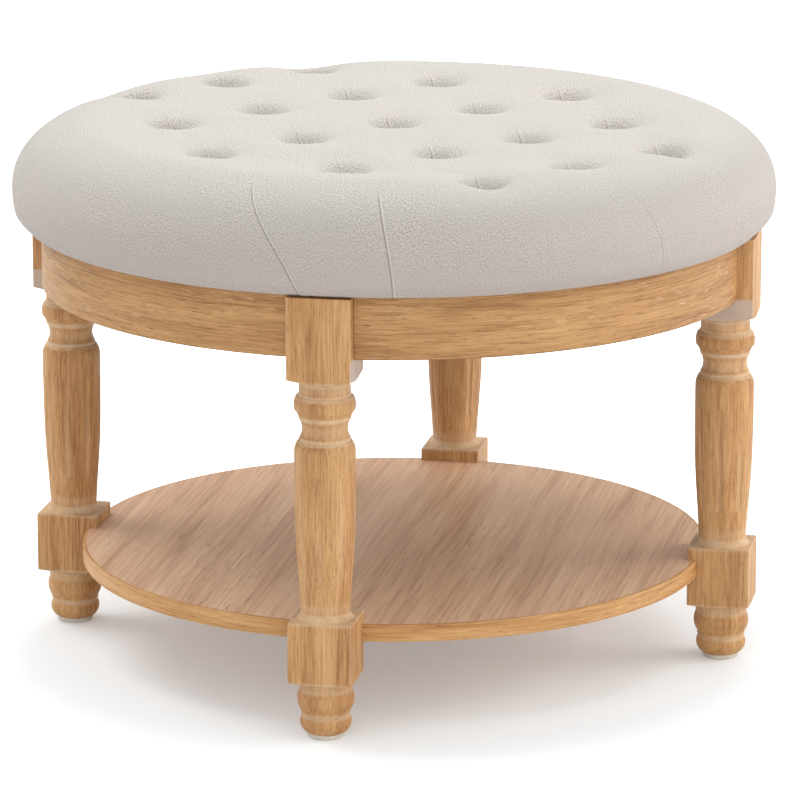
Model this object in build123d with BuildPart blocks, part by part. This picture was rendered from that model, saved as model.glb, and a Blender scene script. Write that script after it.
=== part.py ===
from build123d import *
import os

# Round tufted ottoman coffee table with an open lower shelf. Millimetres, +Z up.
# The origin is on the floor under the centre. The legs stand on the X and Y axes, the front one on -Y.
os.makedirs("parts", exist_ok=True)

# Fits
glue_gap = 0.1          # between a dowel, tenon or lipping and its hole
bolt_gap = 0.15         # round a hanger bolt
soft_gap = 0.3          # round foam and cloth
cut_overrun = 5         # how far a cutting tool runs past the face that it opens

# Legs: square stock, turned between and below its blocks
leg_width = 54
leg_half = leg_width / 2
glide_height = 4
foot_height = 46.5
lower_block_height = 53
spindle_length = 204
upper_block_height = 72.5
foot_pommel_rise = 1.5  # how far the lower block's bottom corners are turned back
pommel_rise = 3.6       # and the upper block's
foot_top = glide_height + foot_height
lower_block_top = foot_top + lower_block_height
spindle_top = lower_block_top + spindle_length
leg_top = spindle_top + upper_block_height

# Foot turning, as shares of half the leg's width and of the foot's height
sole_shares = (0.575, 0.0)
bulb_shares = (0.8, 0.2)
bulb_top_shares = (0.765, 0.305)
groove_low_shares = (0.73, 0.325)
groove_high_shares = (0.73, 0.36)
fillet_low_shares = (0.77, 0.375)
fillet_high_shares = (0.77, 0.43)
bead_shares = (0.885, 0.615)
bead_top_shares = (0.825, 0.795)
foot_neck_shares = (0.825, 0.935)

# Spindle turning, as shares of half the leg's width and of the spindle's length
cove_foot_shares = (0.9, 0.0)
cove_middle_shares = (0.8, 0.012)
cove_top_shares = (0.763, 0.036)
taper_shares = ((0.826, 0.163), (0.904, 0.301), (0.946, 0.48))
shoulder_shares = (0.95, 0.698)
shoulder_middle_shares = (0.905, 0.719)
ring_low_shares = (0.79, 0.728)
ring_high_shares = (0.79, 0.747)
waist_shares = (0.7, 0.786)
step_low_shares = (0.796, 0.829)
step_high_shares = (0.808, 0.849)
collar_shares = (0.952, 0.888)
neck_low_shares = (0.796, 0.927)
neck_high_shares = (0.796, 0.988)

# Flutes of the spindle's taper
flute_count = 8
flute_width = 6.4
flute_depth = 1.1
flute_low_shares = (0.811, 0.15)
flute_high_shares = (0.942, 0.62)

# Glides under the feet
glide_pin_radius = 1.6
glide_pin_length = 14
glide_edge = 0.8

# Lower shelf
shelf_radius = 275
shelf_thickness = 15
lipping_width = 2.5
notch_depth = 9.5       # how far the shelf enters the legs' lower blocks
shelf_rise = 27         # from the lower block's underside to the shelf's underside
shelf_bottom = foot_top + shelf_rise
tongue_step = 1.5       # how much thinner the shelf is where it enters the legs
shelf_dowel_radius = 4
shelf_dowel_length = 30

# Dowels are of fluted beech, drawn eight-sided
dowel_sides = 8
pin_sides = 6           # of the glides' pins, with their holes

# The circle that the legs stand on follows the shelf that they hold
leg_circle_radius = shelf_radius - notch_depth + leg_half
leg_inner_face = leg_circle_radius - leg_half
leg_outer_face = leg_circle_radius + leg_half

# Curved apron rails
rail_height = 53
rail_thickness = 18
rail_setback = 12.5     # from a leg's outer face to the rail's face
rail_outer_radius = leg_outer_face - rail_setback
rail_inner_radius = rail_outer_radius - rail_thickness
rail_bottom = leg_top - rail_height
rail_dowel_radius = 4
rail_dowel_length = 30
rail_dowel_height_shares = (0.26, 0.74)

# Cushion: seat board, foam core and tufted cover
cushion_height = 95
cushion_overhang = 28   # of the cushion's widest line beyond the rails
waist_height = 22       # of that widest line above the legs
tuck_in = 35            # how far the side draws in below it
shoulder_reach = 97.5
shoulder_share = 0.74   # of its reach and height, where the shoulder is half round
crown_rise = 2
fold_thickness = 1
fold_width = 28
seat_board_thickness = 12
seat_board_inset = 7
foam_overlap = 5
foam_edge_radius = 20
cushion_radius = rail_outer_radius + cushion_overhang
cushion_top = leg_top + cushion_height
seat_board_radius = rail_outer_radius - seat_board_inset
seat_board_bottom = leg_top + fold_thickness
seat_board_top = seat_board_bottom + seat_board_thickness
foam_radius = seat_board_radius + foam_overlap

# Tufts: columns that lean, each a half step up or down from its neighbour
tuft_depth = 35
tuft_floor_radius = 4
tuft_flare_width = 64
tuft_flare_height = 37.5
tuft_wall = 3.7         # cover left under a tuft
tuft_columns = 2        # on each side of the middle one
middle_column_tufts = 5
tuft_turn = 11.2        # of the layout about Z, in degrees
# Layout on the cushion, as shares of its radius: between columns, along one, and its lean
column_pitch_share = 0.2855
column_run_share = 0.3707
column_lean_share = -0.1106
twine_radius = 1.4
twine_sides = 6         # a laid cord pulled tight, drawn as a six-sided rod
stitch_radius = 2.8
stitch_height = 1.2
knot_radius = 5
knot_height = 5
tuft_bottom = cushion_top - tuft_depth
foam_top = tuft_bottom - tuft_wall
foam_height = foam_top - seat_board_top

# Dust cloth below the knots
cloth_thickness = 0.8
cloth_clearance = 0.2
cloth_top = seat_board_bottom - knot_height - cloth_clearance
cloth_bottom = cloth_top - cloth_thickness
cloth_radius = rail_inner_radius - 2 * soft_gap

# Corner braces and their fixings
brace_clearance = 0.3
brace_foot_gap = 5.5    # from the rail's lower edge to the brace
brace_depth = 22        # in front of the leg's inner face
brace_half_length = 78
brace_flat_half = 30
brace_wing_step = 18.5
brace_top = cloth_bottom - brace_clearance
brace_bottom = rail_bottom + brace_foot_gap
brace_inner = leg_inner_face - brace_depth
hanger_bolt_radius = 4
hanger_bolt_bite = 38
washer_radius = 11
washer_thickness = 1.6
nut_across_flats = 13
nut_height = 6.5
bolt_end_length = 3     # of the bolt beyond its nut

sides = {"right": 0, "back": 90, "left": 180, "front": 270}
quarter_turns = [Rotation(0, 0, angle) for angle in sides.values()]


def finish(piece, name):
    """Label a finished piece and write it under its own name."""
    piece.part.label = name
    export_step(piece.part, f"parts/{name}.step")


def on_foot(shares):
    """A point of the foot's outline."""
    return (leg_half * shares[0], glide_height + foot_height * shares[1])


def on_spindle(shares):
    """A point of the spindle's outline."""
    return (leg_half * shares[0], lower_block_top + spindle_length * shares[1])


def dowel(radius, length, rod_sides=dowel_sides):
    """A rod along Z with flat sides, centred on the origin."""
    with BuildPart() as rod:
        with BuildSketch():
            RegularPolygon(radius, rod_sides)
        extrude(amount=length / 2, both=True)
    return rod.part


# Leg, made once with its outward side on +X and its axis on Z
blank_radius = leg_half * 1.46  # past the corners of the square stock
with BuildPart() as turning:
    with BuildSketch(Plane.XZ):
        with BuildLine():
            Line((0, glide_height), on_foot(sole_shares))
            ThreePointArc(on_foot(sole_shares), on_foot(bulb_shares), on_foot(bulb_top_shares))
            Polyline(on_foot(bulb_top_shares), on_foot(groove_low_shares), on_foot(groove_high_shares),
                     on_foot(fillet_low_shares), on_foot(fillet_high_shares))
            ThreePointArc(on_foot(fillet_high_shares), on_foot(bead_shares), on_foot(bead_top_shares))
            Polyline(on_foot(bead_top_shares), on_foot(foot_neck_shares), (leg_half, foot_top),
                     (blank_radius, foot_top + foot_pommel_rise), (blank_radius, lower_block_top),
                     on_spindle(cove_foot_shares))
            Spline(on_spindle(cove_foot_shares), on_spindle(cove_middle_shares),
                   on_spindle(cove_top_shares))
            Spline(on_spindle(cove_top_shares), *[on_spindle(shares) for shares in taper_shares],
                   on_spindle(shoulder_shares))
            Spline(on_spindle(shoulder_shares), on_spindle(shoulder_middle_shares),
                   on_spindle(ring_low_shares))
            Line(on_spindle(ring_low_shares), on_spindle(ring_high_shares))
            Spline(on_spindle(ring_high_shares), on_spindle(waist_shares), on_spindle(step_low_shares))
            Line(on_spindle(step_low_shares), on_spindle(step_high_shares))
            Spline(on_spindle(step_high_shares), on_spindle(collar_shares), on_spindle(neck_low_shares))
            Polyline(on_spindle(neck_low_shares), on_spindle(neck_high_shares), (leg_half, spindle_top),
                     (blank_radius, spindle_top + pommel_rise), (blank_radius, leg_top), (0, leg_top),
                     (0, glide_height))
        make_face()
    revolve(axis=Axis.Z)

# One flute: a shallow round-bottomed groove along the taper, deepest in its middle
flute_tool_radius = (flute_width ** 2 / 4 + flute_depth ** 2) / (2 * flute_depth)
flute_low, flute_high = [Vector(on_spindle(shares)[0] + flute_tool_radius, 0, on_spindle(shares)[1])
                         for shares in (flute_low_shares, flute_high_shares)]
with BuildPart() as flute:
    with BuildSketch(Plane(origin=flute_low, x_dir=(0, 1, 0), z_dir=flute_high - flute_low)):
        Circle(flute_tool_radius)
    extrude(amount=(flute_high - flute_low).length)

leg_outward = Plane(origin=(leg_circle_radius, 0, 0), x_dir=(1, 0, 0), z_dir=(0, 0, 1))
hanger_bolt_height = (brace_bottom + brace_top) / 2
rail_dowel_heights = [rail_bottom + rail_height * share for share in rail_dowel_height_shares]
rail_middle_radius = (rail_outer_radius + rail_inner_radius) / 2
shelf_dowel_height = shelf_bottom + shelf_thickness / 2

# Dowels of one leg: two at each side of the upper block, along Y
rail_dowel_places = [Location((rail_middle_radius, turn * leg_half, height), (90, 0, 0))
                     for turn in (-1, 1) for height in rail_dowel_heights]
# The shelf's dowel lies along X, half in the block and half in the shelf
shelf_dowel_place = Location((shelf_radius, 0, shelf_dowel_height), (0, 90, 0))
hanger_bolt_length = (hanger_bolt_bite + brace_depth + washer_thickness + nut_height + bolt_end_length)
hanger_bolt_tip = leg_inner_face + hanger_bolt_bite
hanger_bolt_place = Location((hanger_bolt_tip - hanger_bolt_length / 2, 0, hanger_bolt_height), (0, 90, 0))

rail_dowel = dowel(rail_dowel_radius, rail_dowel_length)
rail_dowel_hole = dowel(rail_dowel_radius + glue_gap, rail_dowel_length + 2 * glue_gap)
shelf_dowel = dowel(shelf_dowel_radius, shelf_dowel_length)
shelf_dowel_hole = dowel(shelf_dowel_radius + glue_gap, shelf_dowel_length + 2 * glue_gap)
glide_pin_hole = dowel(glide_pin_radius + glue_gap, 2 * (glide_pin_length + glue_gap), pin_sides)

with BuildPart() as leg_pattern:
    with BuildSketch(leg_outward.offset(glide_height)):
        Rectangle(leg_width, leg_width)
    extrude(amount=leg_top - glide_height)
    add(turning.part.moved(leg_outward.location), mode=Mode.INTERSECT)
    with Locations(leg_outward.location):
        with PolarLocations(0, flute_count):
            add(flute.part, mode=Mode.SUBTRACT)
    # notch for the shelf, curved like its edge
    with BuildSketch(Plane.XY.offset(shelf_bottom - glue_gap)):
        Circle(shelf_radius + glue_gap)
    extrude(amount=shelf_thickness - tongue_step + 2 * glue_gap, mode=Mode.SUBTRACT)
    with Locations(shelf_dowel_place):
        add(shelf_dowel_hole, mode=Mode.SUBTRACT)
    with Locations(*rail_dowel_places):
        add(rail_dowel_hole, mode=Mode.SUBTRACT)
    with Locations(hanger_bolt_place):
        Cylinder(hanger_bolt_radius + bolt_gap, hanger_bolt_length + 2 * bolt_gap, mode=Mode.SUBTRACT)
    with Locations((leg_circle_radius, 0, glide_height)):
        add(glide_pin_hole, mode=Mode.SUBTRACT)

for side, angle in sides.items():
    with BuildPart() as leg:
        add(leg_pattern.part.rotate(Axis.Z, angle))
    finish(leg, f"leg_{side}")

# Glide: a low pad with a pin, driven into the sole
glide_radius = leg_half * sole_shares[0]
with BuildPart() as glide_pattern:
    with BuildSketch(leg_outward):
        Circle(glide_radius)
    extrude(amount=glide_height)
    chamfer(glide_pattern.edges().filter_by(GeomType.CIRCLE).sort_by(Axis.Z)[0], glide_edge)
    with BuildSketch(leg_outward.offset(glide_height)):
        RegularPolygon(glide_pin_radius, pin_sides)
    extrude(amount=glide_pin_length)

for side, angle in sides.items():
    with BuildPart() as glide:
        add(glide_pattern.part.rotate(Axis.Z, angle))
    finish(glide, f"glide_{side}")

# Corner brace of the leg on +X: a block across the leg's inner face, with a wing to each rail
with BuildPart() as brace_pattern:
    with BuildSketch(Plane.XY.offset(brace_bottom)):
        Circle(rail_inner_radius - brace_clearance)
        with BuildLine():
            Polyline((brace_inner + brace_wing_step, -brace_half_length), (brace_inner, -brace_flat_half),
                     (brace_inner, brace_flat_half), (brace_inner + brace_wing_step, brace_half_length),
                     (rail_outer_radius, brace_half_length), (rail_outer_radius, -brace_half_length),
                     (brace_inner + brace_wing_step, -brace_half_length))
        make_face(mode=Mode.INTERSECT)
        with Locations((leg_circle_radius, 0)):
            Rectangle(leg_width, leg_width + 2 * brace_clearance, mode=Mode.SUBTRACT)
    extrude(amount=brace_top - brace_bottom)
    with Locations(hanger_bolt_place):
        Cylinder(hanger_bolt_radius + bolt_gap, hanger_bolt_length, mode=Mode.SUBTRACT)

for side, angle in sides.items():
    with BuildPart() as brace:
        add(brace_pattern.part.rotate(Axis.Z, angle))
    finish(brace, f"corner_brace_{side}")

# Hanger bolt, washer and nut of every leg
with BuildPart() as bolt_pattern:
    with Locations(hanger_bolt_place):
        Cylinder(hanger_bolt_radius, hanger_bolt_length)
with BuildPart() as hanger_bolts:
    for turn in quarter_turns:
        add(bolt_pattern.part.moved(turn))
finish(hanger_bolts, "hanger_bolts")

facing_centre = Plane(origin=(brace_inner, 0, hanger_bolt_height), x_dir=(0, 1, 0), z_dir=(-1, 0, 0))
with BuildPart() as washer_pattern:
    with BuildSketch(facing_centre):
        Circle(washer_radius)
        Circle(hanger_bolt_radius + bolt_gap, mode=Mode.SUBTRACT)
    extrude(amount=washer_thickness)
with BuildPart() as washers:
    for turn in quarter_turns:
        add(washer_pattern.part.moved(turn))
finish(washers, "washers")

with BuildPart() as nut_pattern:
    with BuildSketch(facing_centre.offset(washer_thickness)):
        RegularPolygon(nut_across_flats / 2, 6, major_radius=False)
        Circle(hanger_bolt_radius + bolt_gap, mode=Mode.SUBTRACT)
    extrude(amount=nut_height)
with BuildPart() as nuts:
    for turn in quarter_turns:
        add(nut_pattern.part.moved(turn))
finish(nuts, "hanger_nuts")

# Curved rails, each between the side faces of two legs
rail_names = {"apron_back_right": 0, "apron_back_left": 90, "apron_front_left": 180, "apron_front_right": 270}
next_leg = Rotation(0, 0, 90)
with BuildPart() as rail_pattern:
    with BuildSketch(Plane.XY.offset(rail_bottom)):
        Circle(rail_outer_radius)
        Circle(rail_inner_radius, mode=Mode.SUBTRACT)
        with Locations((leg_half, leg_half)):
            Rectangle(rail_outer_radius, rail_outer_radius, align=(Align.MIN, Align.MIN), mode=Mode.INTERSECT)
    extrude(amount=rail_height)
    with Locations(*rail_dowel_places, *[next_leg * place for place in rail_dowel_places]):
        add(rail_dowel_hole, mode=Mode.SUBTRACT)

for name, angle in rail_names.items():
    with BuildPart() as rail:
        add(rail_pattern.part.rotate(Axis.Z, angle))
    finish(rail, name)

with BuildPart() as rail_dowels:
    for turn in quarter_turns:
        with Locations(*[turn * place for place in rail_dowel_places]):
            add(rail_dowel)
finish(rail_dowels, "rail_dowels")

# Shelf: veneered panel in a solid lipping, doweled to the legs, a step thinner inside their notches
panel_radius = shelf_radius - lipping_width
shelf_dowel_places = [turn * shelf_dowel_place for turn in quarter_turns]
with BuildPart() as tongue_steps:
    with BuildSketch(Plane.XY.offset(shelf_bottom + shelf_thickness - tongue_step)):
        with PolarLocations(leg_inner_face - glue_gap, len(sides)):
            Rectangle(notch_depth + cut_overrun, leg_width + 2 * glue_gap, align=(Align.MIN, Align.CENTER))
    extrude(amount=tongue_step + cut_overrun)

with BuildPart() as shelf_panel:
    with BuildSketch(Plane.XY.offset(shelf_bottom)):
        Circle(panel_radius)
    extrude(amount=shelf_thickness)
    add(tongue_steps.part, mode=Mode.SUBTRACT)
    with Locations(*shelf_dowel_places):
        add(shelf_dowel_hole, mode=Mode.SUBTRACT)
finish(shelf_panel, "shelf_panel")

with BuildPart() as shelf_lipping:
    with BuildSketch(Plane.XY.offset(shelf_bottom)):
        Circle(shelf_radius)
        Circle(panel_radius + glue_gap, mode=Mode.SUBTRACT)
    extrude(amount=shelf_thickness)
    add(tongue_steps.part, mode=Mode.SUBTRACT)
    with Locations(*shelf_dowel_places):
        add(shelf_dowel_hole, mode=Mode.SUBTRACT)
finish(shelf_lipping, "shelf_lipping")

with BuildPart() as shelf_dowels:
    with Locations(*shelf_dowel_places):
        add(shelf_dowel)
finish(shelf_dowels, "shelf_dowels")

# Tuft places: columns either side of the middle one, each a tuft shorter than the last
tuft_places = []
for column in range(-tuft_columns, tuft_columns + 1):
    tufts_here = middle_column_tufts - abs(column)
    for row in range(tufts_here):
        step = row - (tufts_here - 1) / 2
        spot = Vector(column * column_pitch_share + step * column_lean_share, step * column_run_share, 0)
        tuft_places.append((cushion_radius * spot).rotate(Axis.Z, tuft_turn))

# Seat board: the plywood disc under the foam, drilled for the twines
with BuildPart() as seat_board:
    with BuildSketch(Plane.XY.offset(seat_board_bottom)):
        Circle(seat_board_radius)
        with Locations(*tuft_places):
            RegularPolygon(twine_radius + soft_gap, twine_sides, mode=Mode.SUBTRACT)
    extrude(amount=seat_board_thickness)
finish(seat_board, "seat_board")

# Foam core: a thick disc with rounded upper edge
with BuildPart() as foam_core:
    with BuildSketch(Plane.XY.offset(seat_board_top)):
        Circle(foam_radius)
        with Locations(*tuft_places):
            RegularPolygon(twine_radius + soft_gap, twine_sides, mode=Mode.SUBTRACT)
    extrude(amount=foam_height)
    fillet(foam_core.edges().filter_by(GeomType.CIRCLE).group_by(Axis.Z)[-1]
           .sort_by(SortBy.RADIUS)[-1], foam_edge_radius)
finish(foam_core, "foam_core")

# Cover: crown, rounded shoulder, side that draws in, and a fold under the board
side_centre = (cushion_radius - tuck_in, leg_top + waist_height)
side_edge = (cushion_radius, leg_top + waist_height)
shoulder_centre = (cushion_radius - shoulder_reach, leg_top + waist_height)
shoulder_height = cushion_height - crown_rise - waist_height
shoulder_middle = (shoulder_centre[0] + shoulder_share * shoulder_reach,
                   shoulder_centre[1] + shoulder_share * shoulder_height)
crown_edge = (shoulder_centre[0], cushion_top - crown_rise)
crown_middle = (shoulder_centre[0] / 2, cushion_top - crown_rise / 4)
pocket_radius = foam_radius + soft_gap
pocket_top = foam_top + soft_gap
fold_inner_radius = seat_board_radius - fold_width
with BuildPart() as cushion_cover:
    with BuildSketch(Plane.XZ):
        with BuildLine():
            Line((fold_inner_radius, leg_top), (side_centre[0], leg_top))
            EllipticalCenterArc(side_centre, tuck_in, waist_height, start_angle=-90, arc_size=90)
            Spline(side_edge, shoulder_middle, crown_edge, tangents=((0, 1), (-1, 0)))
            ThreePointArc(crown_edge, crown_middle, (0, cushion_top))
            Polyline((0, cushion_top), (0, pocket_top), (pocket_radius - foam_edge_radius, pocket_top))
            RadiusArc((pocket_radius - foam_edge_radius, pocket_top),
                      (pocket_radius, pocket_top - foam_edge_radius), foam_edge_radius)
            Polyline((pocket_radius, pocket_top - foam_edge_radius), (pocket_radius, seat_board_top),
                     (seat_board_radius + soft_gap, seat_board_top),
                     (seat_board_radius + soft_gap, seat_board_bottom),
                     (fold_inner_radius, seat_board_bottom), (fold_inner_radius, leg_top))
        make_face()
    revolve(axis=Axis.Z)

# A tuft: the cover turns down steeply to the stitch from a flare in the crown
with BuildPart() as tuft_flare:
    with BuildSketch(Plane.XZ):
        with BuildLine():
            Line((0, 0), (tuft_floor_radius, 0))
            flare_centre = (tuft_floor_radius + tuft_flare_width, 0)
            EllipticalCenterArc(flare_centre, tuft_flare_width, tuft_flare_height, start_angle=90,
                                arc_size=90)
            Polyline((flare_centre[0], tuft_flare_height), (flare_centre[0], tuft_flare_height + cut_overrun),
                     (0, tuft_flare_height + cut_overrun), (0, 0))
        make_face()
    revolve(axis=Axis.Z)

with BuildPart() as tufted_cover:
    add(cushion_cover.part)
    with Locations(*[Vector(place.X, place.Y, tuft_bottom) for place in tuft_places]):
        add(tuft_flare.part, mode=Mode.SUBTRACT)
    with BuildSketch(Plane.XY.offset(foam_top)):
        with Locations(*tuft_places):
            RegularPolygon(twine_radius + soft_gap, twine_sides)
    extrude(amount=tuft_wall, mode=Mode.SUBTRACT)
finish(tufted_cover, "cushion_cover")

# Twines: a stitch in the tuft's floor, the cord through foam and board, and a knot under the board
with BuildPart() as twine:
    with BuildSketch(Plane.XY.offset(seat_board_bottom - knot_height)):
        RegularPolygon(knot_radius, twine_sides)
    extrude(amount=knot_height)
    with BuildSketch(Plane.XY.offset(seat_board_bottom)):
        RegularPolygon(twine_radius, twine_sides)
    extrude(amount=tuft_bottom - seat_board_bottom)
    with BuildSketch(Plane.XY.offset(tuft_bottom)):
        RegularPolygon(stitch_radius, twine_sides)
    extrude(amount=stitch_height)
with BuildPart() as tuft_twines:
    with Locations(*tuft_places):
        add(twine.part)
finish(tuft_twines, "tuft_twines")

# Dust cloth: a shallow dish under the knots, cut out round the legs
with BuildPart() as dust_cloth:
    with BuildSketch(Plane.XY.offset(cloth_bottom)):
        Circle(cloth_radius)
    extrude(amount=leg_top - cloth_bottom)
    with BuildSketch(Plane.XY.offset(cloth_top)):
        Circle(cloth_radius - cloth_thickness)
    extrude(amount=leg_top - cloth_top, mode=Mode.SUBTRACT)
    with BuildSketch(Plane.XY.offset(cloth_bottom)):
        with PolarLocations(leg_circle_radius, len(sides)):
            Rectangle(leg_width + 2 * soft_gap, leg_width + 2 * soft_gap)
    extrude(amount=leg_top - cloth_bottom, mode=Mode.SUBTRACT)
finish(dust_cloth, "dust_cloth")
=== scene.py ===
import math

import bmesh
import bpy
import numpy as np
from mathutils import Matrix, Vector


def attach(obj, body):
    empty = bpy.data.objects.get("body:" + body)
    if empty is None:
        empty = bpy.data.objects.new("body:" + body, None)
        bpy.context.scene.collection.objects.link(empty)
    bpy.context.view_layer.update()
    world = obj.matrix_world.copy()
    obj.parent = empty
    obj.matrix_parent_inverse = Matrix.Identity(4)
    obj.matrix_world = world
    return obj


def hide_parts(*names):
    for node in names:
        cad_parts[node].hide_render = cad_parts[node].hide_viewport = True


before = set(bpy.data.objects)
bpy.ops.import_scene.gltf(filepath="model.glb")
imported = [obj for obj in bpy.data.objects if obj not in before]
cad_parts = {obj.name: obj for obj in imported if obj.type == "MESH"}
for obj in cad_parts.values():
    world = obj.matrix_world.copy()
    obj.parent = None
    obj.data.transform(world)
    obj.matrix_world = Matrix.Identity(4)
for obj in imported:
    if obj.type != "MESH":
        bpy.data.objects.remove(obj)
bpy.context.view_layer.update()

# Sizes of the table in metres, as the CAD has them
leg_circle = 0.2925
block_half = 0.027
leg_top = 0.380
lower_block_top = 0.1035
shelf_low, shelf_high = 0.0775, 0.0925
shelf_edge = 0.275
lipping_width = 0.0025
notch_top = 0.0911
rail_outer, rail_inner = 0.307, 0.289
rail_low = 0.327
waist = 0.402
board_high = 0.393
foam_top = 0.4363
tuft_depth = 0.035
quarter = math.pi / 2
sides = {"right": 0, "back": 1, "left": 2, "front": 3}


# Handling of the pieces

def drop_selection():
    """Leaves nothing selected."""
    if bpy.context.mode != "OBJECT":
        bpy.ops.object.mode_set(mode="OBJECT")
    bpy.ops.object.select_all(action="DESELECT")


def take(piece):
    """Makes a piece the only one selected."""
    drop_selection()
    piece.select_set(True)
    bpy.context.view_layer.objects.active = piece


def open_mesh(piece):
    """Takes a piece to the bench: edit mode, with nothing of it selected."""
    take(piece)
    bpy.ops.object.mode_set(mode="EDIT")
    bpy.ops.mesh.select_all(action="DESELECT")


def close_mesh():
    bpy.ops.object.mode_set(mode="OBJECT")


def pick(piece, mode, wanted):
    """Selects the vertices, edges or faces of an open mesh for which wanted(part) is true."""
    bpy.ops.mesh.select_mode(type=mode)
    mesh = bmesh.from_edit_mesh(piece.data)
    parts = {"VERT": mesh.verts, "EDGE": mesh.edges, "FACE": mesh.faces}[mode]
    for part in parts:
        part.select_set(bool(wanted(part)))
    mesh.select_flush_mode()
    bmesh.update_edit_mesh(piece.data)


def fix_place(piece):
    """Puts the piece's place, turn and size into its mesh."""
    take(piece)
    bpy.ops.object.transform_apply(location=True, rotation=True, scale=True)


def face_out(piece):
    """Merges doubles and turns every face outwards."""
    open_mesh(piece)
    bpy.ops.mesh.select_all(action="SELECT")
    bpy.ops.mesh.remove_doubles(threshold=0.00002)
    bpy.ops.mesh.normals_make_consistent(inside=False)
    close_mesh()


def smooth(piece, degrees=30):
    take(piece)
    bpy.ops.object.shade_smooth_by_angle(angle=math.radians(degrees))


def cut(piece, tool, how="DIFFERENCE"):
    """Cuts a piece with a tool, or keeps what both share, and puts the tool away."""
    take(piece)
    step = piece.modifiers.new("cut", "BOOLEAN")
    step.operation = how
    step.solver = "EXACT"
    step.object = tool
    bpy.ops.object.modifier_apply(modifier=step.name)
    bpy.data.objects.remove(tool, do_unlink=True)


def turned_copy(piece, name, angle):
    """A copy with its own mesh, turned about the table's axis."""
    take(piece)
    bpy.ops.object.duplicate(linked=False)
    copy = bpy.context.view_layer.objects.active
    copy.name = name
    copy.data.name = name
    copy.data.transform(Matrix.Rotation(angle, 4, "Z"))
    copy.data.update()
    return copy


def bow(start, middle, end, steps):
    """Points of the round arc from start through middle to end, without its start."""
    (ax, ay), (bx, by), (cx, cy) = start, middle, end
    spread = 2 * (ax * (by - cy) + bx * (cy - ay) + cx * (ay - by))
    a_square, b_square, c_square = ax * ax + ay * ay, bx * bx + by * by, cx * cx + cy * cy
    ux = (a_square * (by - cy) + b_square * (cy - ay) + c_square * (ay - by)) / spread
    uy = (a_square * (cx - bx) + b_square * (ax - cx) + c_square * (bx - ax)) / spread
    radius = math.hypot(ax - ux, ay - uy)
    first, mid, last = (math.atan2(y - uy, x - ux) for x, y in (start, middle, end))
    def unwrap(angle, near):
        return near + (angle - near + math.pi) % (2 * math.pi) - math.pi
    mid = unwrap(mid, first)
    last = unwrap(last, mid)
    return [(ux + radius * math.cos(first + (last - first) * k / steps),
             uy + radius * math.sin(first + (last - first) * k / steps)) for k in range(1, steps + 1)]


def flow(points, steps):
    """A smooth line through points, a few steps between each two, without its start."""
    ends = [points[0]] + list(points) + [points[-1]]
    out = []
    for a, b, c, d in zip(ends, ends[1:], ends[2:], ends[3:]):
        for k in range(1, steps + 1):
            t = k / steps
            out.append(tuple(0.5 * (2 * q + (r - p) * t + (2 * p - 5 * q + 4 * r - s) * t * t
                                    + (3 * q - p - 3 * r + s) * t ** 3) for p, q, r, s in zip(a, b, c, d)))
    return out


def block(size, place):
    """A square-edged block of a size, its middle at a place."""
    drop_selection()
    bpy.ops.mesh.primitive_cube_add(size=1, location=place)
    piece = bpy.context.view_layer.objects.active
    piece.scale = size
    fix_place(piece)
    return piece


def ring_section(name, inner, outer, low, high):
    """The upright section of a ring, to be spun about the table's axis."""
    drop_selection()
    bpy.ops.mesh.primitive_plane_add(size=1, rotation=(quarter, 0, 0),
                                     location=((outer + inner) / 2, 0, (high + low) / 2))
    piece = bpy.context.view_layer.objects.active
    piece.name = name
    piece.scale = (outer - inner, high - low, 1)
    fix_place(piece)
    return piece


def turn_up(name, outline, segments, place=(0, 0)):
    """Turns a closed round piece: a disc at the outline's first point, drawn up ring by ring."""
    drop_selection()
    radius, height = outline[0]
    bpy.ops.mesh.primitive_circle_add(vertices=segments, radius=radius, fill_type="NGON",
                                      location=(*place, height))
    piece = bpy.context.view_layer.objects.active
    piece.name = name
    piece.data.name = name
    fix_place(piece)
    open_mesh(piece)
    bpy.ops.mesh.select_all(action="SELECT")
    for wide, high in outline[1:]:
        bpy.ops.mesh.extrude_region_move(TRANSFORM_OT_translate={"value": (0, 0, high - height)})
        bpy.ops.transform.resize(value=(wide / radius, wide / radius, 1), center_override=(*place, high))
        radius, height = wide, high
    close_mesh()
    face_out(piece)
    return piece


def groove_tool(line, segments=20):
    """A bent rod along points of place outwards, height and radius, for cutting a groove."""
    drop_selection()
    out, height, radius = line[0]
    bpy.ops.mesh.primitive_circle_add(vertices=segments, radius=radius, fill_type="NGON",
                                      location=(out, 0, height))
    tool = bpy.context.view_layer.objects.active
    fix_place(tool)
    open_mesh(tool)
    bpy.ops.mesh.select_all(action="SELECT")
    for x, z, wide in line[1:]:
        bpy.ops.mesh.extrude_region_move(TRANSFORM_OT_translate={"value": (x - out, 0, z - height)})
        bpy.ops.transform.resize(value=(wide / radius, wide / radius, 1), center_override=(x, 0, z))
        out, height, radius = x, z, wide
    close_mesh()
    face_out(tool)
    return tool


def points_of(piece):
    spots = np.empty(len(piece.data.vertices) * 3)
    piece.data.vertices.foreach_get("co", spots)
    return spots.reshape(-1, 3)


def put_points(piece, spots):
    piece.data.vertices.foreach_set("co", np.ascontiguousarray(spots, dtype=np.float64).ravel())
    piece.data.update()


def note(piece, name, values):
    """Keeps a vector for every vertex, for the materials to read."""
    if name in piece.data.attributes:
        piece.data.attributes.remove(piece.data.attributes[name])
    record = piece.data.attributes.new(name, "FLOAT_VECTOR", "POINT")
    record.data.foreach_set("vector", np.ascontiguousarray(values, dtype=np.float64).ravel())


def finish_piece(piece, slot, *nodes):
    """Hangs a piece on the table and hides the CAD parts that it stands in for."""
    if nodes:
        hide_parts(*nodes)
    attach(piece, "root")


# Materials

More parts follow.
